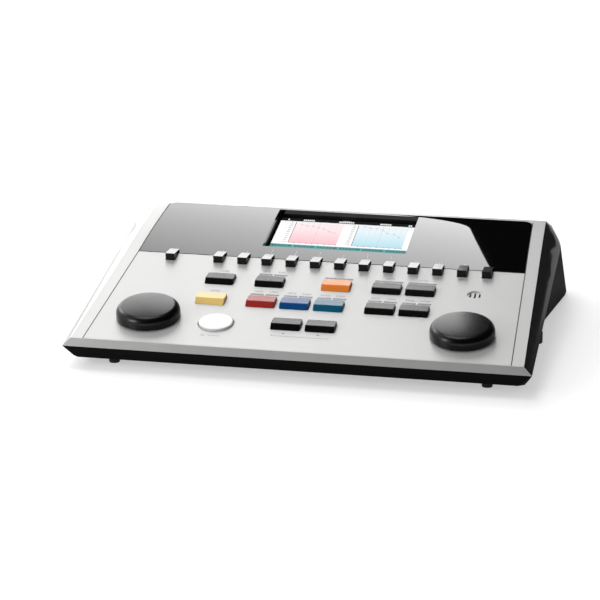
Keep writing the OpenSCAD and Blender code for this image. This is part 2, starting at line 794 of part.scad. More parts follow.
module round_button() {
  r = button_d / 2;
  color("#e9e9e8") deck_place() translate([button_at, button_r, 0]) {
    rotate_extrude($fn = 96) polygon([[0, key_low], [r + button_gap + flange_over, key_low],
      [r + button_gap + flange_over, key_low + flange_t], [r, key_low + flange_t], [r, button_h - 0.6],
      [r - 0.2, button_h - 0.25], [r - 0.7, button_h], [0, button_h + 0.3]]);
    translate([0, 0, stem_low]) cylinder(h = key_low - stem_low + 0.1, d = stem_d, $fn = fine);
  }
}

// a key with a wedge-shaped head, a flange under the deck and a stem
module wedge_key(w, l, r, front_h, back_h, lean, low) {
  slope = atan((front_h - back_h) / (l - lean));
  translate([0, l / 2, 0]) difference() {
    translate([0, 0, low]) linear_extrude(height = front_h - low) pad(w, l, r);
    translate([0, lean - l / 2, front_h]) rotate([-slope, 0, 0]) translate([-w, -5, 0]) cube([2 * w, l + 10, 10]);
    translate([0, -l / 2, 0]) rotate([-atan(lean / front_h), 0, 0]) translate([-w, -10, 0]) cube([2 * w, 10, 20]);
  }
  translate([0, l / 2, low]) linear_extrude(height = flange_t) pad(w + 2 * flange_over, l + 2 * flange_over, r);
  translate([0, l / 2, stem_low]) cylinder(h = low - stem_low + 0.1, d = stem_d, $fn = fine);
}

module key(i, c) {
  k = key_spots[i - 1];
  color(c) deck_place() translate([(k[0] - 3) * key_pitch, row_r[k[1]], 0])
    wedge_key(key_w, key_l, key_corner, key_front_h, key_back_h, key_lean, key_low);
}

module tab(i) {
  color("#141415") deck_place() translate([(tab_slots[i - 1] - 6.5) * tab_pitch, tab_start, 0])
    wedge_key(tab_w, tab_l, tab_corner, tab_front_h, tab_back_h, 0.4, tab_low);
}

module light_bars() {
  color("#6e7073") deck_place() translate([0, 0, -light_deep]) linear_extrude(height = light_deep) light_marks(0);
}

module key_switch(w, travel) {
  translate([-w / 2, -w / 2, -board_deep]) cube([w, w, switch_h - plunger_out]);
  translate([0, 0, -board_deep])
    cylinder(h = board_deep + stem_low - travel - press_gap, d = plunger_d, $fn = fine);
}

module key_switches() {
  color("#2c2d2f") deck_place() {
    for (k = key_spots) translate([(k[0] - 3) * key_pitch, row_r[k[1]] + key_l / 2, 0])
      key_switch(switch_w, key_travel);
    for (i = tab_slots) translate([(i - 6.5) * tab_pitch, tab_start + tab_l / 2, 0])
      key_switch(tab_switch_w, tab_travel);
    translate([button_at, button_r, 0]) key_switch(button_switch_w, button_travel);
  }
}

module key_board() {
  color("#1c5a3a") deck_place() difference() {
    translate([-key_board_w / 2, key_board_start, -board_deep - board_t])
      cube([key_board_w, key_board_end - key_board_start, board_t]);
    for (p = spacer_spots) translate([p[0], p[1], -board_deep - 5])
      cylinder(h = 10, d = screw_d + 0.4, $fn = fine);
  }
}

module board_spacers() {
  color("#b8b9bb") deck_place() for (p = spacer_spots) translate([p[0], p[1], -board_deep]) difference() {
    cylinder(h = board_deep - deck_t, d = spacer_d, $fn = fine);
    translate([0, 0, -1]) cylinder(h = screw_past + 2, d = screw_d, $fn = fine);
  }
}

module board_screws() {
  color("#a4a6a9") deck_place() for (p = spacer_spots) translate([p[0], p[1], -board_deep - board_t]) {
    cylinder(h = board_t + screw_past, d = screw_d, $fn = fine);
    translate([0, 0, -screw_head_h]) cylinder(h = screw_head_h, d = screw_head_d, $fn = fine);
  }
}

module microphone() {
  color("#3a3b3d") deck_place() translate([mic_at, mic_r, -deck_t - capsule_h])
    cylinder(h = capsule_h, d = capsule_d, $fn = fine);
}

module main_board() {
  color("#1c5a3a") difference() {
    translate([-main_w / 2, main_y, main_z]) cube([main_w, main_l, board_t]);
    for (p = main_spots) translate([p[0], p[1], main_z - 5]) cylinder(h = 10, d = screw_d + 0.4, $fn = fine);
  }
}

module main_screws() {
  color("#a4a6a9") for (p = main_spots) translate([p[0], p[1], main_z]) {
    translate([0, 0, -screw_past]) cylinder(h = screw_past + board_t, d = screw_d - 0.2, $fn = fine);
    translate([0, 0, board_t]) cylinder(h = screw_head_h, d = screw_head_d, $fn = fine);
  }
}

module jack_line() {
  for (i = [0 : 5]) translate([jack_x + i * jack_pitch, socket_front, plate_mid_z]) rotate([-90, 0, 0]) children();
}

module connector_plate() {
  color("#2b2c2e") difference() {
    translate([-plate_w / 2, socket_front, plate_z]) cube([plate_w, plate_t, plate_h]);
    jack_line() translate([0, 0, -1]) cylinder(h = 10, d = jack_bushing + 0.2, $fn = fine);
    translate([data_x, socket_front, plate_mid_z])
      cube([data_w + 2 * data_gap, 12, data_h + 2 * data_gap], center = true);
    translate([power_x, socket_front - 1, plate_mid_z]) rotate([-90, 0, 0])
      cylinder(h = 10, d = power_bore + 2 * power_wall + 2 * data_gap, $fn = fine);
  }
}

module jack_sockets() {
  color("#3d3f42") jack_line() difference() {
    union() {
      translate([-jack_w / 2, -jack_w / 2, -jack_l]) cube([jack_w, jack_w, jack_l]);
      cylinder(h = plate_t + jack_out, d = jack_bushing, $fn = fine);
      translate([0, 0, plate_t]) cylinder(h = jack_nut_h, d = jack_bushing + jack_nut_over, $fn = 6);
    }
    translate([0, 0, jack_end - jack_l]) cylinder(h = jack_l + 10, d = jack_bore, $fn = fine);
  }
}

module data_socket() {
  color("#b3b5b8") translate([data_x, socket_front, plate_mid_z]) difference() {
    translate([-data_w / 2, -data_l, -data_h / 2]) cube([data_w, data_l + plate_t, data_h]);
    translate([data_wall - data_w / 2, -data_mouth, data_wall - data_h / 2])
      cube([data_w - 2 * data_wall, 20, data_h - 2 * data_wall]);
  }
}

module power_inlet() {
  color("#2f3133") translate([power_x, socket_front, plate_mid_z]) rotate([-90, 0, 0]) {
    difference() {
      union() {
        translate([-power_w / 2, -power_w / 2, -power_l]) cube([power_w, power_w, power_l]);
        cylinder(h = plate_t + power_out, d = power_bore + 2 * power_wall, $fn = fine);
      }
      translate([0, 0, -power_deep]) cylinder(h = 2 * power_deep, d = power_bore, $fn = fine);
    }
    translate([0, 0, -power_deep - 0.5]) cylinder(h = power_deep, d = power_pin, $fn = fine);
  }
}

module front_foot_pair() {
  for (s = [-1, 1]) translate([s * (half_w - front_foot_x), front_foot_y, 0])
    cylinder(h = under_z + foot_seat, d = front_foot_d, $fn = fine);
}

module mid_foot_pair() {
  for (s = [-1, 1]) translate([s * (half_w - mid_foot_x), mid_foot_y, 0])
    cylinder(h = mid_foot_h, d = mid_foot_d, $fn = fine);
}

module rear_foot_pair() {
  for (s = [-1, 1]) translate([s * (half_w - rear_foot_x), body_d - rear_foot_in, 0])
    cylinder(h = leg_z + foot_seat, d = rear_foot_d, $fn = fine);
}

module front_feet() { color("#0e0e0f") front_foot_pair(); }

module middle_feet() { color("#0e0e0f") mid_foot_pair(); }

module rear_feet() { color("#0e0e0f") rear_foot_pair(); }

module case_screws() {
  color("#a4a6a9") {
    case_spots() translate([0, 0, under_z + 0.5]) cylinder(h = case_head_h, d = case_head_d, $fn = fine);
    case_shafts(case_screw_d);
  }
}

centred() {
  bottom_shell();
  top_frame();
  left_cheek();
  right_cheek();
  deck_panel();
  display_panel();
  screen_tray();
  screen_module();
  left_dial();
  right_dial();
  left_shaft();
  right_shaft();
  left_encoder();
  right_encoder();
  round_button();
  tab(1);  // tab_1
  tab(2);  // tab_2
  tab(3);  // tab_3
  tab(4);  // tab_4
  tab(5);  // tab_5
  tab(6);  // tab_6
  tab(7);  // tab_7
  tab(8);  // tab_8
  tab(9);  // tab_9
  tab(10);  // tab_10
  tab(11);  // tab_11
  tab(12);  // tab_12
  tab(13);  // tab_13
  key(1, "#141415");  // key_1
  key(2, "#141415");  // key_2
  key(3, "#d9682c");  // key_3
  key(4, "#141415");  // key_4
  key(5, "#141415");  // key_5
  key(6, "#dcb866");  // key_6
  key(7, "#8f2a25");  // key_7
  key(8, "#123f8a");  // key_8
  key(9, "#0f5f80");  // key_9
  key(10, "#141415");  // key_10
  key(11, "#141415");  // key_11
  key(12, "#141415");  // key_12
  key(13, "#141415");  // key_13
  light_bars();
  key_switches();
  key_board();
  board_spacers();
  board_screws();
  microphone();
  main_board();
  main_screws();
  connector_plate();
  jack_sockets();
  data_socket();
  power_inlet();
  front_feet();
  middle_feet();
  rear_feet();
  case_screws();
}
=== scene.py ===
import json
from math import cos, pi, radians, sin, sqrt, tan
import bmesh
import bpy
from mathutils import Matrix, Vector


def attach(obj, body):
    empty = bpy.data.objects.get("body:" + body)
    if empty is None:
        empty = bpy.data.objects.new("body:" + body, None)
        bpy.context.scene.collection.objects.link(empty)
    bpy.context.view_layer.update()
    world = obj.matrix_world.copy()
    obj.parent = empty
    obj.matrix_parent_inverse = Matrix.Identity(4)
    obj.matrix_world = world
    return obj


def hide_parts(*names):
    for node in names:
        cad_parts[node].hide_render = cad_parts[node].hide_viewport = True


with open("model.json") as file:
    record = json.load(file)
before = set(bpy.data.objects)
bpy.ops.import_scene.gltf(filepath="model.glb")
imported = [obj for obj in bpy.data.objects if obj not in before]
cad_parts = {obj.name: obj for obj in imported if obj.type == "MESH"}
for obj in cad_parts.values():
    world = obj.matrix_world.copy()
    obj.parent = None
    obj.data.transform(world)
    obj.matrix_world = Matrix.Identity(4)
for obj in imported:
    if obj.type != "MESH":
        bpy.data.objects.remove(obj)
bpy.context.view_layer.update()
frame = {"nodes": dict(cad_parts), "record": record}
nodes = frame["nodes"]
slotOf = {part["node"]: part["material_slot"] for part in frame["record"]["subparts"]}
mm = 0.001
print("frame loaded:", len(nodes), "nodes")

# the console's main measures in millimetres, from the front edge and the middle, as the part's source has them
console = {
    "width": 300.0, "depth": 224.0, "tipHeight": 15.1, "bevelRise": 5.2, "bevelRun": 1.6,
    "deckSlope": 9.0, "jointY": 127.54, "panelSlope": 11.5, "panelRadius": 705.0,
    "edgeFront": 5.3, "edgeBack": 13.3, "stripFront": 7.8, "stripBack": 8.8,
    "screenDepth": 6.0, "screenTilt": 8.3,
}
deckTop = console["tipHeight"] + console["bevelRise"]
jointZ = deckTop + (console["jointY"] - console["bevelRun"]) * tan(radians(console["deckSlope"]))
arcY = console["jointY"] + console["panelRadius"] * sin(radians(console["panelSlope"]))
arcZ = jointZ - console["panelRadius"] * cos(radians(console["panelSlope"]))


def place(x, y, z):  # a point of the part's source in metres, in the row frame
    return Vector((x * mm, (y - console["depth"] / 2) * mm, z * mm))


def onDeck(x, up, high=0.0):  # a point on the deck: sideways, up the slope from the bevel, above the skin
    a = radians(console["deckSlope"])
    return place(x, console["bevelRun"] + up * cos(a) - high * sin(a), deckTop + up * sin(a) + high * cos(a))


def onDisplay(x, up, high=0.0):  # a point on the display panel's curve, up from the joint
    a = radians(console["panelSlope"]) - up / console["panelRadius"]
    r = console["panelRadius"] + high
    return place(x, arcY - r * sin(a), arcZ + r * cos(a))


def onScreen(x, up, high=0.0):  # a point over the screen's face
    a = radians(console["screenTilt"])
    h = high - console["screenDepth"]
    return place(x, console["jointY"] + up * cos(a) - h * sin(a), jointZ + up * sin(a) + h * cos(a))


# a socket that takes part in sums, and a material under construction
class Wire:
    def __init__(self, paint, socket):
        self.paint, self.socket = paint, socket

    def sum(self, operation, first, second=0.0, third=0.0):
        return self.paint.make("ShaderNodeMath", {"operation": operation}, {0: first, 1: second, 2: third})

    def __add__(self, other):
        return self.sum("ADD", self, other)

    def __radd__(self, other):
        return self.sum("ADD", other, self)

    def __sub__(self, other):
        return self.sum("SUBTRACT", self, other)

    def __rsub__(self, other):
        return self.sum("SUBTRACT", other, self)

    def __mul__(self, other):
        return self.sum("MULTIPLY", self, other)

    def __rmul__(self, other):
        return self.sum("MULTIPLY", other, self)

    def __truediv__(self, other):
        return self.sum("DIVIDE", self, other)

    def __rtruediv__(self, other):
        return self.sum("DIVIDE", other, self)

    def __pow__(self, other):
        return self.sum("POWER", self, other)

    def __rpow__(self, other):
        return self.sum("POWER", other, self)

    def __lt__(self, other):
        return self.sum("LESS_THAN", self, other)

    def __gt__(self, other):
        return self.sum("GREATER_THAN", self, other)


class Paint:
    def __init__(self, name, tree=None):
        self.material = None
        if tree is None:
            self.material = bpy.data.materials.new(name)
            self.material.use_nodes = True
            tree = self.material.node_tree
        self.tree = tree
        tree.nodes.clear()

    def make(self, kind, settings=None, sockets=None, out=0):
        node = self.tree.nodes.new(kind)
        for key, value in (settings or {}).items():
            if key == "stops":
                ramp = node.color_ramp
                while len(ramp.elements) < len(value):
                    ramp.elements.new(0.5)
                for element, (at, colour) in zip(ramp.elements, value):
                    element.position, element.color = at, colour
            else:
                setattr(node, key, value)
        for key, value in (sockets or {}).items():
            if isinstance(value, Wire):
                self.tree.links.new(value.socket, node.inputs[key])
            else:
                node.inputs[key].default_value = value
        return Wire(self, node.outputs[out] if len(node.outputs) else None)

    def coords(self, scale=1.0):
        spot = self.make("ShaderNodeTexCoord", out=3)
        return self.make("ShaderNodeMapping", {}, {"Vector": spot, "Scale": (scale, scale, scale)})

    def noise(self, where, scale, detail=2.0, rough=0.5):
        return self.make("ShaderNodeTexNoise", {}, {
            "Vector": where, "Scale": scale, "Detail": detail, "Roughness": rough})

    def mixed(self, factor, a, b):
        return self.make("ShaderNodeMix", {"data_type": "RGBA"}, {0: factor, 6: a, 7: b}, out=2)

    def finish(self, sockets):
        surface = self.make("ShaderNodeBsdfPrincipled", {}, sockets)
        self.make("ShaderNodeOutputMaterial", {}, {"Surface": surface})
        return self.material


def linear(*levels):  # display levels of 0 to 255 as scene colour
    out = [v / 255 / 12.92 if v <= 10 else ((v / 255 + 0.055) / 1.055) ** 2.4 for v in levels]
    return (*out, 1.0)


def shade(colour, factor):
    return (*[min(1.0, c * factor) for c in colour[:3]], 1.0)


# how the real finishes look: base colour, gloss, and the grain of moulded or sprayed surfaces
def moulded(name, colour, look):  # cloud and grain are the sizes of its broad and fine unevenness
    paint = Paint(name)
    where = paint.coords()
    broad = paint.noise(where, look.get("cloud", 60.0), 3.0)
    fine = paint.noise(where, 1.0 / look.get("grain", 0.0006), 2.0, 0.6)
    spread, speck, mottle = look.get("roughSpread", 0.06), look.get("roughGrain", 0.04), look.get("mottle", 0.04)
    rough = look["rough"] + (broad - 0.5) * spread + (fine - 0.5) * speck
    patches = (broad - 0.5) * 0.6 + (fine - 0.5) * 0.5 + 0.5
    tone = paint.mixed(patches, shade(colour, 1 - mottle), shade(colour, 1 + mottle))
    bump = paint.make("ShaderNodeBump", {}, {
        "Strength": look.get("bump", 0.15), "Distance": look.get("depth", 0.00002), "Height": fine})
    return paint.finish({
        "Base Color": tone, "Roughness": rough, "Metallic": look.get("metal", 0.0), "Normal": bump,
        "Specular IOR Level": look.get("specular", 0.5), "Coat Weight": look.get("coat", 0.0),
        "Coat Roughness": look.get("coatRough", 0.1),
    })


silver = {"rough": 0.42, "metal": 0.25, "grain": 0.0003, "mottle": 0.05, "bump": 0.1, "roughSpread": 0.04}
finishLooks = {  # the display colour, then what differs from plain moulded plastic
    "deck": ("deckSilver", (190, 190, 189), silver),
    "frame": ("frameSilver", (187, 187, 186), {**silver, "rough": 0.38}),
    "base": ("baseBlack", (24, 24, 24),
        {"rough": 0.6, "grain": 0.0005, "depth": 0.00004, "bump": 0.3, "specular": 0.004}),
    "cheek": ("cheekBlack", (40, 40, 41),
        {"rough": 0.14, "roughSpread": 0.02, "grain": 0.0005, "bump": 0.05, "coat": 0.85, "coatRough": 0.06}),
    "display": ("displayBlack", (8, 8, 9),
        {"rough": 0.015, "roughSpread": 0.0, "roughGrain": 0.0, "bump": 0.0, "grain": 0.002}),
    "tray": ("trayBlack", (7, 7, 8), {"rough": 0.6, "grain": 0.0004, "specular": 0.2}),
    "dial": ("dialBlack", (8, 8, 8),
        {"rough": 0.28, "grain": 0.0004, "depth": 0.00002, "bump": 0.2, "specular": 0.3}),
    "keyBlack": ("keyBlack", (10, 10, 10), {"rough": 0.16, "roughSpread": 0.04, "specular": 0.4}),
    "keyOrange": ("keyOrange", (240, 134, 50), {"rough": 0.16}),
    "keyYellow": ("keyYellow", (240, 206, 124), {"rough": 0.16}),
    "keyRed": ("keyRed", (160, 44, 38), {"rough": 0.16}),
    "keyBlue": ("keyBlue", (8, 70, 132), {"rough": 0.16}),
    "keyTeal": ("keyTeal", (4, 88, 120), {"rough": 0.16}),
    "button": ("buttonWhite", (232, 232, 231), {"rough": 0.3}),
    "light": ("lightBarGrey", (78, 79, 81), {"rough": 0.25, "mottle": 0.08}),
    "rubber": ("footRubber", (18, 18, 18), {"rough": 0.75, "grain": 0.0004, "depth": 0.00005, "bump": 0.4}),
    "steel": ("turnedSteel", (176, 178, 181), {"rough": 0.3, "metal": 1.0, "grain": 0.0003}),
    "zinc": ("zincPlate", (160, 162, 166), {"rough": 0.4, "metal": 1.0, "grain": 0.0005, "mottle": 0.1}),
    "socket": ("socketBlack", (24, 24, 25), {"rough": 0.45, "grain": 0.0004}),
    "board": ("boardGreen", (28, 84, 54), {"rough": 0.35, "mottle": 0.12, "grain": 0.001}),
    "glass": ("screenGlass", (14, 15, 17), {"rough": 0.15, "bump": 0.0}),
    "print": ("printGrey", (84, 85, 88), {"rough": 0.5}),
    "printPale": ("printPale", (196, 198, 200), {"rough": 0.4}),
}
finishes = {key: moulded(name, linear(*rgb), look) for key, (name, rgb, look) in finishLooks.items()}
print("finishes made:", len(finishes))


def displayNormal(point):  # which way the display panel's curve faces at a point
    return Vector((0, point.y / mm + console["depth"] / 2 - arcY, point.z / mm - arcZ)).normalized()


def deckNormal(point):  # the deck is flat, so it faces the same way all over
    return Vector((0, -sin(radians(console["deckSlope"])), cos(radians(console["deckSlope"]))))


facings = {"display_panel": displayNormal, "deck_panel": deckNormal}


# a copy of a CAD node with eased edges and even shading, which stands for it
def dressed(name, finish, body="console", edge=0.3, angle=32.0, steps=2, facing=None):
    build = bmesh.new()
    build.from_mesh(nodes[name].data)
    bmesh.ops.remove_doubles(build, verts=build.verts, dist=1e-6)
    if edge:  # a panel full of holes keeps its own faces, because large faces with holes don't fill well
        bmesh.ops.dissolve_limit(build, angle_limit=radians(0.6), verts=build.verts, edges=build.edges)
        sharp = [e for e in build.edges if len(e.link_faces) == 2 and e.calc_face_angle(0.0) > radians(angle)]
        bmesh.ops.bevel(
            build, geom=sharp, offset=edge * mm, segments=steps, profile=0.6, affect="EDGES", clamp_overlap=True)
    mesh = bpy.data.meshes.new(name + "Skin")
    build.to_mesh(mesh)
    build.free()
    piece = bpy.data.objects.new(name + "Skin", mesh)
    bpy.context.collection.objects.link(piece)
    for polygon in mesh.polygons:
        polygon.use_smooth = True
    mesh.set_sharp_from_angle(angle=radians(angle))
    mesh.materials.append(finishes[finish])
    if facing:  # reflections run evenly over a long curve when its normals are worked out
        normals = []
        for polygon in mesh.polygons:
            for corner in polygon.vertices:
                ideal = facing(mesh.vertices[corner].co)
                normals.append(ideal if polygon.normal.dot(ideal) > 0.999 else polygon.normal.copy())
        mesh.normals_split_custom_set(normals)
    else:
        even = piece.modifiers.new("evenNormals", "WEIGHTED_NORMAL")
        even.keep_sharp = True
    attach(piece, body)
    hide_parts(name)
    return piece


def overDeck(point):  # a point of the frame as sideways, up the slope and above the skin, in millimetres
    a, rise = radians(console["deckSlope"]), point.z / mm - deckTop
    run = point.y / mm + console["depth"] / 2 - console["bevelRun"]
    return point.x / mm, run * cos(a) + rise * sin(a), rise * cos(a) - run * sin(a)


dialShape = {
    "shoulderWide": 4.6, "shoulderHigh": 4.8, "shoulderTurn": 84, "dome": 1.3, "foot": 0.3,
    "shoulderSteps": 14, "domeSteps": 12, "sides": 96,
}


def turnedDial(name, finish):  # a low knob turned round its shaft, with a soft shoulder and a slightly crowned top
    spots = [overDeck(vertex.co) for vertex in nodes[name].data.vertices]
    lows, highs = [min(s[i] for s in spots) for i in range(3)], [max(s[i] for s in spots) for i in range(3)]
    midX, midUp, radius = (lows[0] + highs[0]) / 2, (lows[1] + highs[1]) / 2, (highs[0] - lows[0]) / 2
    wide, high, dome, foot = (dialShape[k] for k in ("shoulderWide", "shoulderHigh", "dome", "foot"))
    last, steps, domeSteps = (dialShape[k] for k in ("shoulderTurn", "shoulderSteps", "domeSteps"))
    last = radians(last)
    spring = highs[2] - dome - high * sin(last)
    outline = [(0.0, lows[2]), (radius - foot, lows[2]), (radius, lows[2] + foot), (radius, (lows[2] + spring) / 2)]
    for k in range(steps + 1):
        a = last * k / steps
        outline.append((radius - wide + wide * cos(a), spring + high * sin(a)))
    rim = outline[-1][0]
    for k in range(1, domeSteps + 1):
        out = 1 - k / domeSteps
        outline.append((rim * out, highs[2] - dome * out ** 2))
    sides, build = dialShape["sides"], bmesh.new()
    turns = [2 * pi * k / sides for k in range(sides)]
    rings = []
    for r, h in outline:
        if r < 0.001:
            rings.append([build.verts.new(onDeck(midX, midUp, h))] * sides)
        else:
            rings.append([build.verts.new(onDeck(midX + r * cos(t), midUp + r * sin(t), h)) for t in turns])
    for below, above in zip(rings, rings[1:]):
        for k in range(sides):
            corners = [below[k], below[(k + 1) % sides], above[(k + 1) % sides], above[k]]
            build.faces.new(list(dict.fromkeys(corners)))
    mesh = bpy.data.meshes.new(name + "Skin")
    build.to_mesh(mesh)
    build.free()
    for polygon in mesh.polygons:
        polygon.use_smooth = True
    mesh.set_sharp_from_angle(angle=radians(40))
    mesh.materials.append(finishes[finish])
    piece = bpy.data.objects.new(name + "Skin", mesh)
    bpy.context.collection.objects.link(piece)
    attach(piece, name)
    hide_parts(name)


def paintOnly(name, finish):
    nodes[name].data.materials.clear()
    nodes[name].data.materials.append(finishes[finish])


housing = {  # finish, and the width of the eased edges in millimetres
    "bottom_shell": ("base", 0.4), "top_frame": ("frame", 0.35), "left_cheek": ("cheek", 0.3),
    "right_cheek": ("cheek", 0.3), "deck_panel": ("deck", 0), "display_panel": ("display", 0),
    "screen_tray": ("tray", 0.15), "connector_plate": ("socket", 0.2), "jack_sockets": ("zinc", 0.15),
    "data_socket": ("zinc", 0.15), "power_inlet": ("socket", 0.2), "front_feet": ("rubber", 0.5),
    "middle_feet": ("rubber", 0.5), "rear_feet": ("rubber", 0.4), "light_bars": ("light", 0.12),
}
inside = {
    "screen_module": "glass", "left_encoder": "zinc", "right_encoder": "zinc", "key_switches": "socket",
    "key_board": "board", "board_spacers": "zinc", "board_screws": "steel", "microphone": "tray",
    "main_board": "board", "main_screws": "steel", "case_screws": "zinc", "left_shaft": "steel",
    "right_shaft": "steel",
}
for name, (finish, edge) in housing.items():
    dressed(name, finish, edge=edge, facing=facings.get(name))
for name, finish in inside.items():
    paintOnly(name, finish)
print("housing dressed")

keyFinish = {3: "keyOrange", 6: "keyYellow", 7: "keyRed", 8: "keyBlue", 9: "keyTeal"}  # the rest are black
keyCount = 13
for i in range(1, keyCount + 1):
    dressed(f"key_{i}", keyFinish.get(i, "keyBlack"), f"key_{i}", edge=0.45, angle=30, steps=3)
    dressed(f"tab_{i}", "keyBlack", f"tab_{i}", edge=0.3, angle=30, steps=3)
for side in ("left", "right"):
    turnedDial(side + "_dial", "dial")
dressed("round_button", "button", "round_button", edge=0.15)
print("keys and dials dressed")


class Sheet:  # flat shapes laid on one of the curved places, gathered into one mesh
    def __init__(self, name, spot, lift):
        self.name, self.spot, self.lift = name, spot, lift
        self.points, self.faces, self.paints, self.slots = [], [], [], []

    def slot(self, material):
        if material not in self.slots:
            self.slots.append(material)
        return self.slots.index(material)

    def shape(self, outline, material, layer=0):  # later layers lie a hair higher
        start = len(self.points)
        self.points += [self.spot(x, up, self.lift + layer * 0.02) for x, up in outline]
        self.faces.append(list(range(start, len(self.points))))
        self.paints.append(self.slot(material))

    def bar(self, x, up, width, height, material, layer=0):
        self.shape([(x, up), (x + width, up), (x + width, up + height), (x, up + height)], material, layer)

    def line(self, trail, width, material, layer=0):
        for (x0, u0), (x1, u1) in zip(trail, trail[1:]):
            span = sqrt((x1 - x0) ** 2 + (u1 - u0) ** 2)
            sx, su = (u0 - u1) / span * width / 2, (x1 - x0) / span * width / 2
            corners = [(x0 - sx, u0 - su), (x1 - sx, u1 - su), (x1 + sx, u1 + su), (x0 + sx, u0 + su)]
            self.shape(corners, material, layer)

    def ring(self, x, up, radius, width, material, layer=0, sides=24):
        for i in range(sides):
            a, b = 2 * pi * i / sides, 2 * pi * (i + 1) / sides
            inner, outer = radius - width / 2, radius + width / 2
            corners = ((inner, a), (outer, a), (outer, b), (inner, b))
            self.shape([(x + r * cos(t), up + r * sin(t)) for r, t in corners], material, layer)

    def number(self, text, x, up, size, material, layer=0):  # centred on x, standing on up
        curve = bpy.data.curves.new("number", "FONT")
        curve.body, curve.size, curve.align_x, curve.resolution_u = text, size / 0.73, "CENTER", 2
        thing = bpy.data.objects.new("number", curve)
        bpy.context.collection.objects.link(thing)
        bpy.context.view_layer.update()
        flat = bpy.data.meshes.new_from_object(thing.evaluated_get(bpy.context.evaluated_depsgraph_get()))
        start, paint = len(self.points), self.slot(material)
        self.points += [self.spot(x + v.co.x, up + v.co.y, self.lift + layer * 0.02) for v in flat.vertices]
        for polygon in flat.polygons:
            self.faces.append([start + i for i in polygon.vertices])
            self.paints.append(paint)
        bpy.data.objects.remove(thing)
        bpy.data.meshes.remove(flat)

    def lay(self, slot):
        mesh = bpy.data.meshes.new(self.name)
        mesh.from_pydata(self.points, [], self.faces)
        for material in self.slots:
            mesh.materials.append(material)
        for polygon, paint in zip(mesh.polygons, self.paints):
            polygon.material_index = paint
        piece = bpy.data.objects.new(self.name, mesh)
        bpy.context.collection.objects.link(piece)
        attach(piece, "console")


picture = {  # millimetres from the picture's lower left corner
    "width": 95.0, "height": 48.6, "left": -47.5, "up": 29.7, "bright": 0.95,
    "topBar": 5.0, "lowBar": 6.2, "graphLow": 9.0, "graphHigh": 42.2, "graphs": ((11.6, 45.0), (55.8, 90.5)),
    "fadeLow": 8.0, "fadeHigh": 41.0, "buttonInsets": (1.0, 0.8, 0.9, 0.8, 0.8, 1.4),
    "topMarks": ((4.6, 1), (15.7, 6), (41.0, 8), (70.0, 6), (90.0, 2)),  # where, and how many dots
    "levels": ((10, 15, 15, 20, 25, 35, 40), (5, 10, 10, 15, 30, 30, 45)), "lowest": 90,
    "colours": {
        "White": (255, 255, 255), "Bar": (26, 26, 30), "Ink": (70, 72, 80), "Faint": (196, 200, 206),
        "Teal": (62, 158, 160), "Deep": (10, 84, 88), "Red": (226, 140, 150), "Blue": (140, 170, 204),
        "Grid": (240, 206, 212), "GridBlue": (196, 220, 230),
    },
    "pink": ((254, 186, 196), (255, 246, 247)), "sky": ((172, 222, 238), (248, 253, 254)),
}


def glowing(paint, colour):
    return paint.finish({
        "Base Color": linear(12, 12, 12), "Roughness": 0.4, "Specular IOR Level": 0.1,
        "Emission Color": colour, "Emission Strength": picture["bright"]})


def fade(name, colours):  # a lit picture colour that grows paler up the screen
    paint = Paint(name)
    spot = paint.make("ShaderNodeTexCoord", out=3)
    along = paint.make("ShaderNodeSeparateXYZ", {}, {0: spot}, out=1)
    first, last = (onScreen(0, picture["up"] + picture[k]).y for k in ("fadeLow", "fadeHigh"))
    blend = paint.make("ShaderNodeMapRange", {}, {0: along, 1: first, 2: last, 3: 0.0, 4: 1.0})
    return glowing(paint, paint.mixed(blend, linear(*colours[0]), linear(*colours[1])))


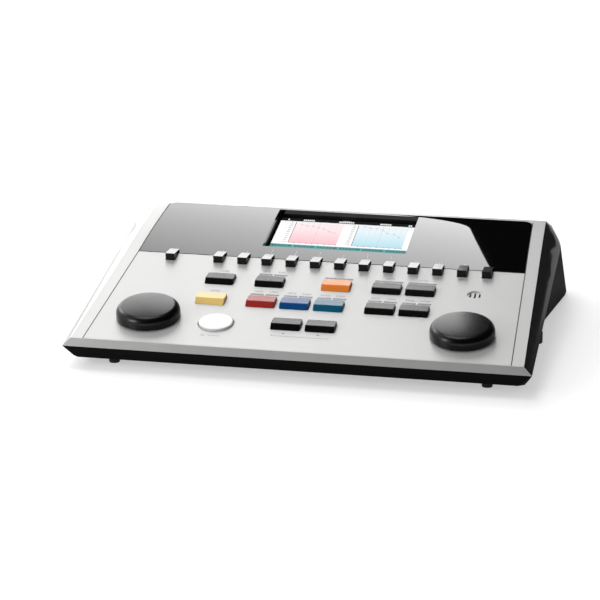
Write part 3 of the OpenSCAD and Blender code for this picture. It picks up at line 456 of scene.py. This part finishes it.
def makePicture():
    lit = {name: glowing(Paint("lit" + name), linear(*rgb)) for name, rgb in picture["colours"].items()}
    sheet = Sheet("screenPicture", lambda x, up, high: onScreen(picture["left"] + x, picture["up"] + up, high), 0.05)
    wide, tall = picture["width"], picture["height"]
    sheet.bar(0, 0, wide, tall, lit["White"])
    sheet.bar(0, tall - picture["topBar"], wide, picture["topBar"], lit["Bar"], 1)
    sheet.bar(0, 0, wide, picture["lowBar"], lit["Teal"], 1)
    for k, inset in enumerate(picture["buttonInsets"]):
        x, width = wide * k / 6 + inset, wide / 6 - 2 * inset
        sheet.bar(x, 2.4, width, 2.6, lit["Deep"], 2)
        for step in range(5):
            sheet.bar(x + 1.2 + step * 2.2, 3.2, 1.3, 1.0, lit["Teal"], 3)
    for x, count in picture["topMarks"]:
        for k in range(count):
            sheet.bar(x + k * 1.35, tall - 3.9, 1.05, 2.2, lit["White"], 2)
    sheet.bar(43.5, tall - 1.3, 5.5, 0.7, lit["Faint"], 2)
    low, high = picture["graphLow"], picture["graphHigh"]
    for (x0, x1), colour, grid, ink, levels in zip(
        picture["graphs"], (fade("litPink", picture["pink"]), fade("litSky", picture["sky"])),
        (lit["Grid"], lit["GridBlue"]), (lit["Red"], lit["Blue"]), picture["levels"],
    ):
        across, tallness = x1 - x0, high - low
        sheet.bar(x0, low, across, tallness, colour, 1)
        for k in range(1, 9):
            sheet.bar(x0 + across * k / 8 - 0.06, low, 0.12, tallness, grid, 2)
            sheet.bar(x0, low + tallness * k / 9 - 0.06, across, 0.12, grid, 2)
            sheet.bar(x0 + across * k / 8 - 0.25, low - 1.0, 0.5, 1.0, lit["Ink"], 2)
        sheet.bar(x0 + across / 2 - 0.12, low, 0.24, tallness + 1.5, lit["Faint"], 3)
        sheet.bar(x0 - 0.3, low - 0.3, across + 0.3, 0.4, lit["Ink"], 3)
        sheet.bar(x0 - 0.4, low, 0.4, tallness, lit["Ink"], 3)
        trail = [(x0 + across * (k + 1) / 8, high - tallness * v / picture["lowest"]) for k, v in enumerate(levels)]
        sheet.line(trail, 0.2, ink, 4)
        for x, up in trail:
            sheet.ring(x, up, 0.6, 0.22, ink, 4, 12)
        for k in range(11):
            sheet.number(str(k * 10), x0 - 3.2, high - 1.4 - k * (tallness - 1.6) / 10, 1.7, lit["Ink"], 3)
        for k, text in enumerate(("125", "500", "2000", "8000")):
            sheet.number(text, x0 + across * (k * 2 + 1) / 8, high + 0.9, 1.2, lit["Faint"], 3)
    sheet.lay("screen")


makePicture()

# column, row and number of light bars of each key
keySpots = [
    (0, 0, 0), (1.5, 0, 2), (3.5, 0, 1), (5, 0, 1), (6, 0, 1), (0, 1, 0), (1.5, 1, 2),
    (2.5, 1, 2), (3.5, 1, 2), (5, 1, 2), (6, 1, 2), (2.5, 2, 0), (3.5, 2, 0),
]
tabSlots = (0, 2, 3, 4, 5, 6, 7, 8, 9, 10, 11, 12, 13)
keyboard = {"pitch": 22.33, "rows": (85.2, 56.4, 27.6), "width": 19.0, "tabPitch": 16.51, "tabStart": 116.6}
marks = {  # millimetres up from a key's front, and sizes
    "overLights": 21.2, "overKey": 18.6, "keyText": 2.3, "aside": 5.0, "frameUp": 18.35, "frameDeep": 0.9,
    "frameSplit": 1.2, "arrowUp": -4.2, "arrowWide": 1.1, "arrowHigh": 0.8, "braceUp": 19.4, "braceHalf": 18.5,
    "line": 0.35, "tabText": 1.7, "tabDown": 4.6, "panelText": 1.8, "panelUp": 6.4,
    "leader": (6.0, 8.8, 13.0), "leaderWide": 0.3, "leaderLean": 0.3,
}
# widths and reach of the painted shade lines along the panel gaps, in millimetres
seamShadeLook = {"wide": 0.6, "joint": 0.9, "jointDown": 0.3, "start": 0.4, "panelEnd": 79.0, "steps": 14}


def seamX(y):  # where the deck and the display panel meet the silver side strips
    part = y / console["depth"]
    outer = console["width"] / 2 - console["edgeFront"] - (console["edgeBack"] - console["edgeFront"]) * part
    return outer - console["stripFront"] - (console["stripBack"] - console["stripFront"]) * part


def makePrints():
    grey, pale = finishes["print"], finishes["printPale"]
    deck = Sheet("deckPrint", onDeck, 0.03)
    for i, (column, row, lights) in enumerate(keySpots):
        x, up = (column - 3) * keyboard["pitch"], keyboard["rows"][row]
        if row < 2:
            base = up + marks["overLights" if lights else "overKey"]
            span = (keyboard["width"] - marks["frameSplit"]) / 2 if lights == 2 else keyboard["width"] - 0.6
            for k in range(lights):  # the dark frame behind each light bar
                left = x - keyboard["width"] / 2 + k * (span + marks["frameSplit"])
                deck.bar(left, up + marks["frameUp"], span, marks["frameDeep"], finishes["light"])
            if lights == 2:
                deck.number(str(250 * i + 125), x - marks["aside"], base, marks["keyText"], grey)
                deck.number(str(250 * i + 250), x + marks["aside"], base, marks["keyText"], grey)
            else:
                deck.number(str(250 * i + 1125), x, base, marks["keyText"], grey)
        else:  # an arrow under each key of the last row, one up and one down
            middle, tip = up + marks["arrowUp"], marks["arrowHigh"] * (1 if i % 2 else -1)
            wide = marks["arrowWide"]
            deck.shape([(x - wide, middle - tip), (x + wide, middle - tip), (x, middle + tip)], grey)
    half, line = marks["braceHalf"], marks["line"]
    deck.bar(-half, marks["braceUp"], 2 * half, line, grey)
    for x in (-half, half - line):
        deck.bar(x, marks["braceUp"], line, 1.6, grey)
    deck.ring(-62.0, 14.6, 1.0, 0.3, grey)
    deck.line([(-58.5, 14.6), (-50.5, 14.6)], line, grey)
    display = Sheet("displayPrint", onDisplay, 0.03)
    for i, slot in enumerate(tabSlots):
        x = (slot - 6.5) * keyboard["tabPitch"]
        if i > 9:
            deck.number(str(slot * 10), x, keyboard["tabStart"] - marks["tabDown"], marks["tabText"], grey)
        if 3 <= i <= 8:  # a thin line leads to its place on the screen
            target = picture["left"] + picture["width"] * (i - 2.5) / 6
            bend, (low, middle, high) = x + (target - x) * marks["leaderLean"], marks["leader"]
            display.line([(x, low), (bend, middle), (bend, high)], marks["leaderWide"], pale)
        elif i < 12:
            display.number(str(i + 1), x, marks["panelUp"], marks["panelText"], pale)
    deck.lay("light_grey")
    display.lay("silver_frame")


def makeSeamShade():  # painted shade: dark lines laid along the gaps where panels and strips meet, standing for the shadow inside those gaps
    shadeLines, gapShade, jointY = Sheet("seamShadeLines", onDeck, 0.035), finishes["tray"], console["jointY"]
    end = (jointY - console["bevelRun"]) / cos(radians(console["deckSlope"]))
    start, steps = seamShadeLook["start"], seamShadeLook["steps"]
    for side in (-1, 1):
        trail = [(side * seamX(console["bevelRun"] + start), start), (side * seamX(jointY), end)]
        shadeLines.line(trail, seamShadeLook["wide"], gapShade)
    low = end - seamShadeLook["jointDown"]
    shadeLines.line([(-seamX(jointY), low), (seamX(jointY), low)], seamShadeLook["joint"], gapShade)
    shadeLines.spot = onDisplay
    for side in (-1, 1):
        trail = [seamShadeLook["panelEnd"] * k / steps for k in range(steps + 1)]
        shadeLines.line([(side * seamX(jointY + up * 0.99), up) for up in trail], seamShadeLook["wide"], gapShade)
    shadeLines.lay(slotOf["screen_tray"])


makePrints()
makeSeamShade()
print("screen and prints laid")

# floor, lamps, cards and camera; places in metres
studio = {
    "floorLevel": 0.68, "floorLift": 0.47, "worldLight": 0.3,
    "cards": {  # upright lit sheets behind the console, which its glossy parts mirror
        "backSoftbox": {"right": -0.204, "left": -2.2, "low": 1.155, "high": 3.0, "away": 2.3,
                        "corner": 0.16, "dim": 3.2, "bright": 5.2},
        "backCard": {"right": -0.2, "left": -2.2, "low": 0.05, "high": 1.03, "away": 2.32,
                     "corner": 0.02, "dim": 3.3, "bright": 3.7},
        "lowCard": {"right": 2.4, "left": 0.1, "low": 0.02, "high": 0.6, "away": 1.9,
                    "corner": 0.02, "dim": 0.35, "bright": 0.35},
    },
    "lamps": {
        "sideSoftbox": {"at": (-1.7, 1.1, 1.4), "aims": (0.0, -0.03, 0.02), "size": 0.8, "watts": 12.0},
        "topSoftbox": {"at": (-0.3, 0.1, 1.8), "aims": (0.0, -0.03, 0.02), "size": 1.0, "watts": 11.0},
        "frontSoftbox": {"at": (-0.5, -0.5, 0.26), "aims": (-0.14, -0.11, 0.02), "size": 0.25, "watts": 1.7},
    },
    "flags": {  # black cards that only reflections see: corners in metres
        "flagBack": ((-0.8, 2.42, 0.0), (0.1, 2.42, 0.0), (0.1, 2.42, 3.2), (-0.8, 2.42, 3.2)),
        "flagRight": ((0.1, 2.42, 0.0), (2.6, 1.2, 0.0), (2.6, 1.2, 3.2), (0.1, 2.42, 3.2)),
        "flagSide": ((2.6, 1.2, 0.0), (2.2, -2.6, 0.0), (2.2, -2.6, 3.2), (2.6, 1.2, 3.2)),
        "flagFront": ((2.2, -2.6, 0.0), (-2.2, -2.6, 0.0), (-2.2, -2.6, 3.2), (2.2, -2.6, 3.2)),
        "flagTop": ((-2.4, 2.4, 3.2), (2.6, 2.4, 3.2), (2.6, -2.6, 3.2), (-2.4, -2.6, 3.2)),
    },
    "lens": 148.53, "cameraAt": (0.2797, -1.5436, 0.5447), "cameraAims": (-0.01473, -0.012, 0.02132),
}


def aim(thing, at, target):
    thing.location = at
    thing.rotation_euler = (Vector(target) - Vector(at)).to_track_quat("-Z", "Y").to_euler()


def card(name, corners, material):
    mesh = bpy.data.meshes.new(name)
    mesh.from_pydata([tuple(c) for c in corners], [], [list(range(len(corners)))])
    mesh.materials.append(material)
    thing = bpy.data.objects.new(name, mesh)
    bpy.context.collection.objects.link(thing)
    return thing


def softbox(name, box):  # an upright lit sheet with round corners, brighter towards its right side
    paint = Paint(name)
    along = paint.make("ShaderNodeSeparateXYZ", {}, {0: paint.make("ShaderNodeTexCoord", out=3)}, out=0)
    level = paint.make("ShaderNodeMapRange", {}, {
        0: along, 1: box["right"] - 0.7, 2: box["right"], 3: box["dim"], 4: box["bright"]})
    shine = paint.make("ShaderNodeEmission", {}, {"Color": (1, 1, 1, 1), "Strength": level})
    paint.make("ShaderNodeOutputMaterial", {}, {"Surface": shine})
    corners, r = [], box["corner"]
    for cx, cz, turn in ((box["right"] - r, box["high"] - r, 0), (box["left"] + r, box["high"] - r, 90),
                         (box["left"] + r, box["low"] + r, 180), (box["right"] - r, box["low"] + r, 270)):
        for step in range(9):
            a = radians(turn + step * 90 / 8)
            corners.append((cx + r * cos(a), box["away"], cz + r * sin(a)))
    thing = card(name, corners, paint.material)
    thing.visible_camera = False


def seenDirectly(paint):  # one where the camera, a reflection or a clear part looks
    path = paint.make("ShaderNodeLightPath").socket.node.outputs
    camera, glossy, clear = (Wire(paint, path["Is " + k + " Ray"]) for k in ("Camera", "Glossy", "Transmission"))
    return camera + glossy + clear


def makeStudio():
    paint = Paint("floorWhite")
    seen = seenDirectly(paint)
    level = studio["floorLevel"]
    matt = paint.make("ShaderNodeBsdfDiffuse", {}, {"Color": (level, level, level, 1.0)})
    shine = paint.make("ShaderNodeEmission", {}, {"Color": (1, 1, 1, 1), "Strength": seen * studio["floorLift"]})
    both = paint.make("ShaderNodeAddShader", {}, {0: matt, 1: shine})
    paint.make("ShaderNodeOutputMaterial", {}, {"Surface": both})
    card("floorSheet", ((-6, -6, 0), (6, -6, 0), (6, 9, 0), (-6, 9, 0)), paint.material)
    world = bpy.data.worlds.new("studioWorld")
    world.use_nodes = True
    bpy.context.scene.world = world
    sky = Paint("studioWorld", world.node_tree)
    strength = studio["worldLight"] + seenDirectly(sky) * (1 - studio["worldLight"])
    white = sky.make("ShaderNodeBackground", {}, {"Color": (1, 1, 1, 1), "Strength": strength})
    sky.make("ShaderNodeOutputWorld", {}, {"Surface": white})
    for name, box in studio["cards"].items():
        softbox(name, box)
    black = Paint("flagBlack").finish({"Base Color": linear(4, 4, 4), "Roughness": 1.0, "Specular IOR Level": 0.0})
    for name, corners in studio["flags"].items():
        flag = card(name, corners, black)
        flag.visible_camera = flag.visible_diffuse = flag.visible_shadow = flag.visible_transmission = False
    for name, look in studio["lamps"].items():
        lamp = bpy.data.lights.new(name, "AREA")
        lamp.size, lamp.energy = look["size"], look["watts"]
        holder = bpy.data.objects.new(name, lamp)
        bpy.context.collection.objects.link(holder)
        holder.visible_camera = False
        aim(holder, look["at"], look["aims"])
    lens = bpy.data.cameras.new("photoCamera")
    lens.lens, lens.sensor_width, lens.clip_start, lens.clip_end = studio["lens"], 36.0, 0.05, 50.0
    camera = bpy.data.objects.new("photoCamera", lens)
    bpy.context.collection.objects.link(camera)
    aim(camera, studio["cameraAt"], studio["cameraAims"])
    bpy.context.scene.camera = camera
    bpy.context.scene.view_settings.view_transform = "Standard"


makeStudio()
print("studio set")
